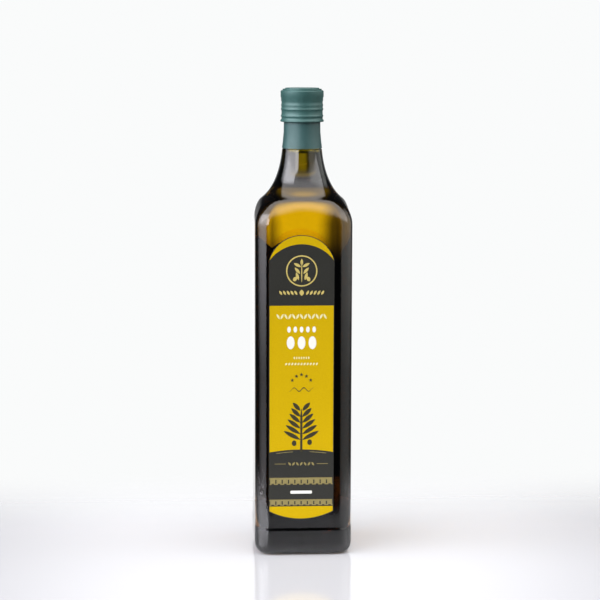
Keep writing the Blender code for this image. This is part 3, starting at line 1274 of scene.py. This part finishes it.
@dataclass
class FrontLabel(Label):
    """The front label and its print, a little left of the middle."""

    shift: float = -0.0021
    margin: float = 0.0005
    strips: int = 36
    foot_top: float = 0.0369
    bands_at: Profile = ((0.0376, 0.0420), (0.0530, 0.0581))
    band_keys: int = 10
    key: tuple[str, ...] = (
        "#########.",
        "........#.",
        "..#####.#.",
        "..#...#.#.",
        "..#.###.#.",
        "..#.....#.",
        "###.....##",
    )
    panel_side: float = 0.0769
    panel_middle: float = 0.0789
    panel_top: float = 0.1836
    ring_z: float = 0.2086
    ring_size: tuple[float, float] = (0.0112, 0.0009)
    ring_turns: tuple[float, ...] = (62.0, 40.0, 18.0)
    volume_bar: tuple[float, ...] = (0.0, 0.0474, 0.0156, 0.0022)
    rule: tuple[float, float, float] = (0.0152, 0.0683, 0.0080)
    rule_width: float = 0.0004
    crest: tuple[float, float, float] = (0.0060, 0.0180, 0.0018)
    sprig: LeafRow = LeafRow(-0.0084, 0.0028, 7, 0.0683, (0.0030, 0.0014), (125.0, 55.0), 0.5)
    ornament: tuple[LeafRow, ...] = (
        LeafRow(-0.0042, -0.0027, 5, 0.1929, (0.0036, 0.0016), (122.0,), 0.5),
        LeafRow(0.0042, 0.0027, 5, 0.1929, (0.0036, 0.0016), (58.0,), 0.5),
        LeafRow(0.0, 0.0, 1, 0.1929, (0.0044, 0.0032), point=0.55),
    )
    pale: tuple[LeafRow, ...] = (
        LeafRow(-0.0168, 0.0028, 13, 0.1758, (0.0042, 0.0015), (118.0, 62.0), 0.5),
        LeafRow(-0.0052, 0.00173, 7, 0.1458, (0.0019, 0.0010), point=0.4),
        LeafRow(-0.0110, 0.0022, 11, 0.1414, (0.0021, 0.0012), (60.0,), 0.4),
    )
    white: tuple[LeafRow, ...] = (
        LeafRow(-0.0090, 0.0045, 5, 0.1664, (0.0044, 0.0026)),
        LeafRow(-0.0078, 0.0078, 3, 0.1568, (0.0094, 0.0056)),
    )
    stars: Profile = ((-0.0066, 0.1296), (-0.0036, 0.1325), (0.0, 0.1337), (0.0036, 0.1325), (0.0066, 0.1296))
    star_radius: float = 0.0015
    branch_foot: float = 0.0770
    leaf_pairs: int = 6

    def hill(self) -> Curve:
        """The bowed lower edge of the yellow panel."""
        return self.arc(self.panel_side, self.panel_middle, self.half - self.margin)

    def fields(self) -> Piece:
        """The yellow crescent, panel and foot.

        Returns:
            The finished print.
        """
        half = self.half - self.margin
        low, high = self.outline(self.margin)
        ink = self.print("label_yellow_fields", Ink.YELLOW)
        ink.plate(half, self.arc(self.spring, self.field_arch, half), high, self.strips)
        ink.plate(half, self.hill(), level(self.panel_top), self.strips)
        ink.plate(half, low, level(self.foot_top), self.strips)
        return ink.close()

    def emblem(self) -> Piece:
        """The gold ring with a small olive sprig, and the ornament under it.

        Returns:
            The finished print.
        """
        ink = self.print("label_gold_emblem", Ink.GOLD)
        ink.ring(0.0, self.ring_z, *self.ring_size)
        for side in SIDES:
            for step, turn in enumerate(self.ring_turns):
                x, z = side * 0.0031, self.ring_z + 0.0042 - 0.0040 * step
                ink.oval(x, z, 0.0058, 0.0021, 90.0 - side * turn, 0.6)
        ink.oval(0.0, self.ring_z + 0.0062, 0.0050, 0.0020, point=0.6)
        ink.oval(0.0, self.ring_z - 0.0007, 0.0150, 0.0007)
        for side in SIDES:
            ink.oval(side * 0.0048, self.ring_z - 0.0058, 0.0034, 0.0026, 90.0 + side * 30.0)
        for row in self.ornament:
            row.draw(ink)
        return ink.close()

    def pale_rows(self) -> Piece:
        """The pale rows of leaves in the upper part of the panel.

        Returns:
            The finished print.
        """
        ink = self.print("label_pale_rows", Ink.PALE, 1)
        for row in self.pale:
            row.draw(ink)
        return ink.close()

    def white_rows(self) -> Piece:
        """The whitest print: a row of beads, three olives and the bar in the dark band.

        Returns:
            The finished print.
        """
        ink = self.print("label_white_rows", Ink.WHITE, 1)
        for row in self.white:
            row.draw(ink)
        ink.bar(*self.volume_bar)
        return ink.close()

    def dark_motifs(self) -> Piece:
        """The stars, the flourish and the olive branch on the yellow panel.

        Returns:
            The finished print.
        """

        def wave(lift: float) -> Curve:
            """One edge of the flourish."""
            return lambda x: 0.1228 + 0.0013 * math.sin(x * 900.0) + lift * math.cos(x * 160.0)

        ink = self.print("label_dark_motifs", Ink.DARK, 1)
        for x, z in self.stars:
            ink.star(x, z, self.star_radius)
        ink.plate(0.0090, wave(-0.0004), wave(0.0004), 48)
        ink.plate(0.0008, level(self.branch_foot), lambda x: 0.1090 - 120.0 * abs(x) ** 1.4, 6)
        for step in range(self.leaf_pairs):
            z, length, lean = 0.0893 + 0.0042 * step, 0.0135 - 0.0011 * step, 62.0 - 4.0 * step
            reach = 0.0008 + length / 2.0 * math.sin(math.radians(lean))
            for side in SIDES:
                ink.oval(side * reach, z, length, 0.0031, 90.0 - side * lean, 0.55)
        for x, z in ((-0.0052, 0.0835), (0.0060, 0.0842)):
            ink.oval(x, z, 0.0042, 0.0034)
        return ink.close()

    def bands(self) -> Piece:
        """The two pierced bands, the rules, the crest lines and the sprig in the dark field.

        Returns:
            The finished print.
        """
        ink = self.print("label_meander_bands", Ink.BAND)
        half = self.half - self.margin
        for low, high in self.bands_at:
            cell = Vector((2.0 * half / (self.band_keys * len(self.key[0])), (high - low) / len(self.key)))
            ink.cells([row * self.band_keys for row in self.key], -half, low, cell)
        hill = self.hill()
        near, far, drop = self.crest
        for side in SIDES:
            x, z, width = self.rule
            ink.bar(side * x, z, width, self.rule_width)
            middle = side * (near + far) / 2.0
            over = drop - self.rule_width
            ink.plate((far - near) / 2.0, lambda x: hill(x) - drop, lambda x: hill(x) - over, 8, middle)
        self.sprig.draw(ink)
        return ink.close()

    def build(self) -> list[Piece]:
        """Models the sheet and all its print.

        Returns:
            The sheet and its prints.
        """
        sheet = self.sheet("front_label_sheet", Ink.FIELD, *self.outline())
        upper = [self.fields(), self.emblem(), self.pale_rows(), self.white_rows()]
        return [sheet, *upper, self.dark_motifs(), self.bands()]


@dataclass
class BackLabel(Label):
    """The back label, with a plain panel and a crescent of clear film at its top."""

    facing: float = 1.0
    inset: float = 0.0030
    panel: tuple[float, float] = (0.0700, 0.1900)

    def fields(self) -> Piece:
        """The plain panel.

        Returns:
            The finished print.
        """
        low, high = self.panel
        ink = self.print("back_label_fields", Ink.YELLOW)
        ink.plate(self.half - self.inset, level(low), level(high), 2)
        return ink.close()

    def build(self) -> list[Piece]:
        """Models the dark sheet up to the lower arch, the film between the arches and the panel.

        Returns:
            The two sheets and the panel.
        """
        low, high = self.outline()
        arch = self.arc(self.spring, self.field_arch, self.half)
        sheet = self.sheet("back_label_sheet", Ink.FIELD, low, arch)
        film = self.sheet("back_label_film", Ink.FILM, arch, high)
        return [sheet, film, self.fields()]


# The studio.


@dataclass(frozen=True)
class SkyPanel:
    """A soft bright panel of the room around, at an endless distance.

    Args:
        name: what it is; not used.
        azimuth: where it stands, from +Y towards +X, in degrees.
        tilt: how high its middle is, in degrees.
        across: angles where it starts, is full, is still full and ends, from left to right, in degrees.
        up: the same from bottom to top.
        radiance: its brightness.
        colour: its colour.
    """

    name: str
    azimuth: float
    tilt: float
    across: tuple[float, float, float, float]
    up: tuple[float, float, float, float]
    radiance: float
    colour: Colour = (1.0, 1.0, 1.0)

    def axes(self) -> tuple[Vector, Vector, Vector]:
        """The panel's middle, right and upper direction.

        Returns:
            The three directions.
        """
        turn, lift = math.radians(self.azimuth), math.radians(self.tilt)
        middle = Vector((math.cos(lift) * math.sin(turn), math.cos(lift) * math.cos(turn), math.sin(lift)))
        right = Vector((math.cos(turn), -math.sin(turn), 0.0))
        return middle, right, right.cross(middle)


class Room(Tree):
    """The world: white for the camera, and panels in a dark room for what surfaces reflect."""

    def __init__(self, base: Colour, white: Colour) -> None:
        """Starts the world.

        Args:
            base: radiance of the dark room.
            white: radiance behind everything that the camera sees.
        """
        world = bpy.data.worlds.new("studio_room")
        world.use_nodes = True
        bpy.context.scene.world = world
        super().__init__(world.node_tree)
        self.direction = self.add("TexCoord", "Generated", {})
        self.total = self.add("CombineXYZ", "Vector", dict(enumerate(base)))
        self.white = white

    def dot(self, axis: Vector) -> Socket:
        """How far the direction goes along an axis."""
        return self.add("VectorMath", "Value", {0: self.direction, 1: axis}, operation="DOT_PRODUCT")

    def hang(self, panel: SkyPanel) -> None:
        """Adds a panel's light to the room.

        Args:
            panel: the panel.
        """
        middle, right, upper = panel.axes()
        ahead = self.dot(middle)
        shares = [self.math("GREATER_THAN", ahead, AHEAD)]
        for axis, angles in ((right, panel.across), (upper, panel.up)):
            start, full, last, end = (math.tan(math.radians(angle)) for angle in angles)
            place = self.math("DIVIDE", self.dot(axis), ahead)
            shares += [self.ramp(place, start, full), self.ramp(place, end, last)]
        light = Vector(panel.colour) * panel.radiance
        parts = {0: self.product(*shares), 1: light, 2: self.total}
        self.total = self.add("VectorMath", "Vector", parts, operation="MULTIPLY_ADD")

    def close(self) -> None:
        """Shows the white to the camera and the room to everything else."""
        room, output = self.tree.nodes["Background"], self.tree.nodes["World Output"]
        self.feed(self.total, room.inputs["Color"])
        white = self.add("Background", "Background", {"Color": self.white})
        camera = self.add("LightPath", "Is Camera Ray", {})
        parts = {0: camera, 1: room.outputs["Background"], 2: white}
        self.feed(self.add("MixShader", "Shader", parts), output.inputs["Surface"])


@dataclass(frozen=True)
class SoftBox:
    """A soft light that faces the bottle."""

    name: str
    place: Colour
    aim: Colour
    size: tuple[float, float]
    radiance: float

    def build(self) -> Piece:
        """Hangs the light.

        Returns:
            The light's object.
        """
        deselect()
        place = Vector(self.place)
        turn = (Vector(self.aim) - place).to_track_quat("-Z", "Y").to_euler()
        bpy.ops.object.light_add(type="AREA", location=place, rotation=turn)
        made = bpy.context.object
        made.name = self.name
        light = made.data
        light.shape = "RECTANGLE"
        light.size, light.size_y = self.size
        light.energy = self.radiance * math.pi * self.size[0] * self.size[1]
        made.visible_camera = made.visible_glossy = False
        return made


KEY_COLOUR = (0.97, 0.97, 1.04)
FILL_COLOUR = (0.98, 1.0, 0.96)
TOP_COLOUR = (1.0, 0.98, 1.0)


@dataclass
class Studio:
    """The camera, the table, the black card of painted shade that only the glass shows, the lights and the
    air around.
    """

    distance: float = 1.4
    camera_height: float = 0.3758
    azimuth: float = -3.5
    pitch: float = 7.85
    aim_left: float = 0.047
    roll: float = 0.15
    lens: float = 115.8
    table_middle: tuple[float, float] = (0.0, -0.01)
    table_size: tuple[float, float] = (0.90, 0.54)
    table_colour: Colour = (0.58, 0.585, 0.60)
    table_roughness: float = 0.10
    table_ior: float = 1.62
    table_front: tuple[float, float] = (-0.27, -0.20)
    table_back: tuple[float, float] = (0.24, 0.04)
    table_sides: tuple[float, float] = (0.42, 0.22)
    # painted shade: a black card that only rays through the glass see, black low down, open in a soft window
    # and partly shut by a scrim above it
    shade_card_place: float = 0.060
    shade_card_size: tuple[float, float] = (0.12, 0.330)
    shade_card_window: tuple[float, float, float, float] = (-0.024, -0.010, 0.012, 0.028)
    shade_card_foot: tuple[float, float] = (0.205, 0.232)
    shade_card_scrim: tuple[float, float, float] = (0.241, 0.251, 0.21)
    dark_room: Colour = (0.022, 0.023, 0.026)
    white: Colour = (0.955, 0.965, 0.965)
    panels: tuple[SkyPanel, ...] = (
        SkyPanel("backdrop_glow", 3.5, 0.0, (-12.0, -4.0, 4.0, 12.0), (-34.0, -20.0, 20.0, 40.0), 0.98),
        SkyPanel("backdrop_foot", 3.5, 0.0, (-45.0, -25.0, 25.0, 45.0), (-50.0, -30.0, 5.0, 15.0), 0.19),
        SkyPanel(
            "key_left", -125.0, 0.0, (-19.0, -13.0, 12.0, 62.0), (-17.0, 12.0, 38.0, 52.0), 5.2, KEY_COLOUR
        ),
        SkyPanel(
            "key_inner", -125.0, 0.0, (-35.0, -29.0, -19.0, -13.0), (0.0, 6.0, 28.0, 36.0), 6.4, KEY_COLOUR
        ),
        SkyPanel(
            "fill_right", 108.0, 0.0, (-62.0, -42.0, 25.0, 45.0), (-20.0, 0.0, 38.0, 52.0), 0.90, FILL_COLOUR
        ),
        SkyPanel(
            "overhead", 180.0, 55.0, (-82.0, -68.0, 68.0, 82.0), (-30.0, -4.0, 44.0, 54.0), 2.2, TOP_COLOUR
        ),
    )
    box: SoftBox = SoftBox("front_fill", (0.25, -2.2, 1.6), (0.0, 0.0, 0.15), (1.2, 0.8), 1.5)

    def build_camera(self) -> Piece:
        """Places the camera at the photograph's viewing angle.

        Returns:
            The camera's object.
        """
        deselect()
        turn = math.radians(self.azimuth)
        place = (self.distance * math.sin(turn), -self.distance * math.cos(turn), self.camera_height)
        yaw = Matrix.Rotation(math.radians(self.azimuth + self.aim_left), 3, "Z")
        tilt = Matrix.Rotation(math.radians(90.0 - self.pitch), 3, "X")
        roll = Matrix.Rotation(math.radians(self.roll), 3, "Z")
        bpy.ops.object.camera_add(location=place, rotation=(yaw @ tilt @ roll).to_euler())
        camera = bpy.context.object
        camera.name = "photo_camera"
        camera.data.lens = self.lens
        camera.data.sensor_width = 36.0
        camera.data.clip_start = 0.05
        bpy.context.scene.camera = camera
        return camera

    def stage_plane(
        self, name: str, place: Colour, turn: Colour, size: Colour, finish: str
    ) -> tuple[Piece, Surface]:
        """Adds a flat piece of the stage with a new finish.

        Args:
            name: name of the piece.
            place: its middle.
            turn: its turn.
            size: its size along X, Y and Z.
            finish: name of its finish.

        Returns:
            The piece and its finish's nodes.
        """
        deselect()
        bpy.ops.mesh.primitive_plane_add(size=1.0, location=place, rotation=turn)
        plane = bpy.context.object
        plane.name = name
        bpy.ops.transform.resize(value=size)
        bpy.ops.object.transform_apply(location=True, rotation=True, scale=True)
        surface = Surface(finish)
        plane.data.materials.append(surface.material)
        return plane, surface

    def build_table(self) -> Piece:
        """Lays the glossy pale table under the bottle, which fades out at its edges.

        Returns:
            The table.
        """
        place, size = (*self.table_middle, -0.0001), (*self.table_size, 1.0)
        table, surface = self.stage_plane("pale_table", place, (0.0, 0.0, 0.0), size, "pale_table_top")
        surface.set(Base_Color=self.table_colour, Roughness=self.table_roughness, IOR=self.table_ior)
        axis = surface.axes()
        depth = [surface.ramp(axis["Y"], *edge) for edge in (self.table_back, self.table_front)]
        start, end = self.table_sides
        width = [surface.ramp(axis["X"], side * start, side * end) for side in SIDES]
        surface.blend(surface.product(*depth, *width), surface.shader.outputs["BSDF"])
        return table

    def build_shade_card(self) -> Piece:
        """Stands a black card with a soft window behind the bottle, which only the glass shows: painted shade
        that darkens what is seen through the glass.

        Returns:
            The card.
        """
        width, height = self.shade_card_size
        place = (0.0, self.shade_card_place, height / 2.0)
        size = (width, 1.0, height)
        shade_card, surface = self.stage_plane("painted_shade_card", place, UPRIGHT, size, "painted_shade_finish")
        axis = surface.axes()
        start, left, right, end = self.shade_card_window
        low, high, left_over = self.shade_card_scrim
        window = surface.product(
            surface.ramp(axis["X"], start, left),
            surface.ramp(axis["X"], end, right),
            surface.ramp(axis["Z"], *self.shade_card_foot),
            surface.ramp(axis["Z"], high, low, left_over),
        )
        # black wherever the window is shut: painted shade for what the glass shows
        black = surface.add("Emission", "Emission", {"Strength": 0.0})
        surface.blend(surface.math("SUBTRACT", 1.0, window), black)
        shade_card.visible_camera = shade_card.visible_diffuse = shade_card.visible_glossy = shade_card.visible_shadow = False
        return shade_card

    def build(self) -> None:
        """Sets up the studio."""
        self.build_camera()
        self.build_table()
        self.build_shade_card()
        room = Room(self.dark_room, self.white)
        for panel in self.panels:
            room.hang(panel)
        room.close()
        self.box.build()
        bpy.context.scene.view_settings.view_transform = "Standard"


# The whole.


def settle(piece: Piece, node: str) -> None:
    """Attaches a piece to its body and hides the CAD node that it stands for.

    Args:
        piece: the finished piece.
        node: the CAD node that it replaces, which is hidden.
    """
    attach(piece, BODY)
    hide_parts(node)
    LOG.info("%s: %d faces", piece.name, len(piece.data.polygons))


def main() -> None:
    """Builds the studio and the bottle, piece by piece."""
    logging.basicConfig(level=logging.INFO, format="%(name)s %(message)s")
    Studio().build()
    glass = GlassBody()
    oil = OilFill(glass)
    for piece, finish, node in (
        (glass.build(oil.rim), GLASS, "bottle_glass"),
        (oil.build(), OIL, "oil"),
        (ScrewCap().build(), CAP_LACQUER, "cap"),
        (NeckSleeve().build(), SLEEVE_LACQUER, "neck_sleeve"),
    ):
        piece.data.materials.append(finish.make())
        settle(piece, node)
    for label, node in ((FrontLabel(), "label_front"), (BackLabel(), "label_back")):
        for piece in label.build():
            settle(piece, node)


if __name__ == "__main__":
    main()
